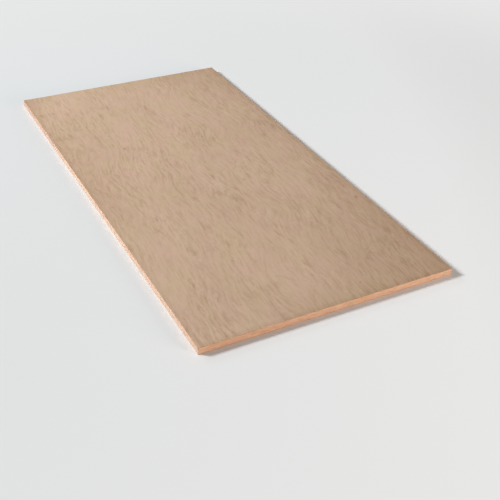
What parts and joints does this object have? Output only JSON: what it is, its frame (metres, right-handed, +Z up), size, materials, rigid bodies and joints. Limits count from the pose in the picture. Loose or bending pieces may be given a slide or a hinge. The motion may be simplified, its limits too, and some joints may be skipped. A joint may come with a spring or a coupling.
{
  "type": "mdf board",
  "caption": "Flat rectangular sheet of fibreboard with a wood veneer bonded to each face, square sawn edges and lightly eased arrises.",
  "frame": {"origin": "middle of the underside, on the floor that the sheet lies on", "axes": "+Y along the sheet and its grain, +X across it, +Z up out of the face veneer"},
  "size_m": [0.607, 1.22, 0.0162],
  "materials": {
    "face_veneer": "bare sanded rotary-cut veneer, pale brown with short fine flecks along the grain",
    "mdf_core": "bare sawn fibreboard edge, plain peach brown",
    "back_veneer": "bare sanded balancing veneer, pale brown"
  },
  "bodies": {
    "root": {"face_veneer": "face_veneer", "mdf_core": "mdf_core", "back_veneer": "back_veneer"}
  },
  "joints": []
}
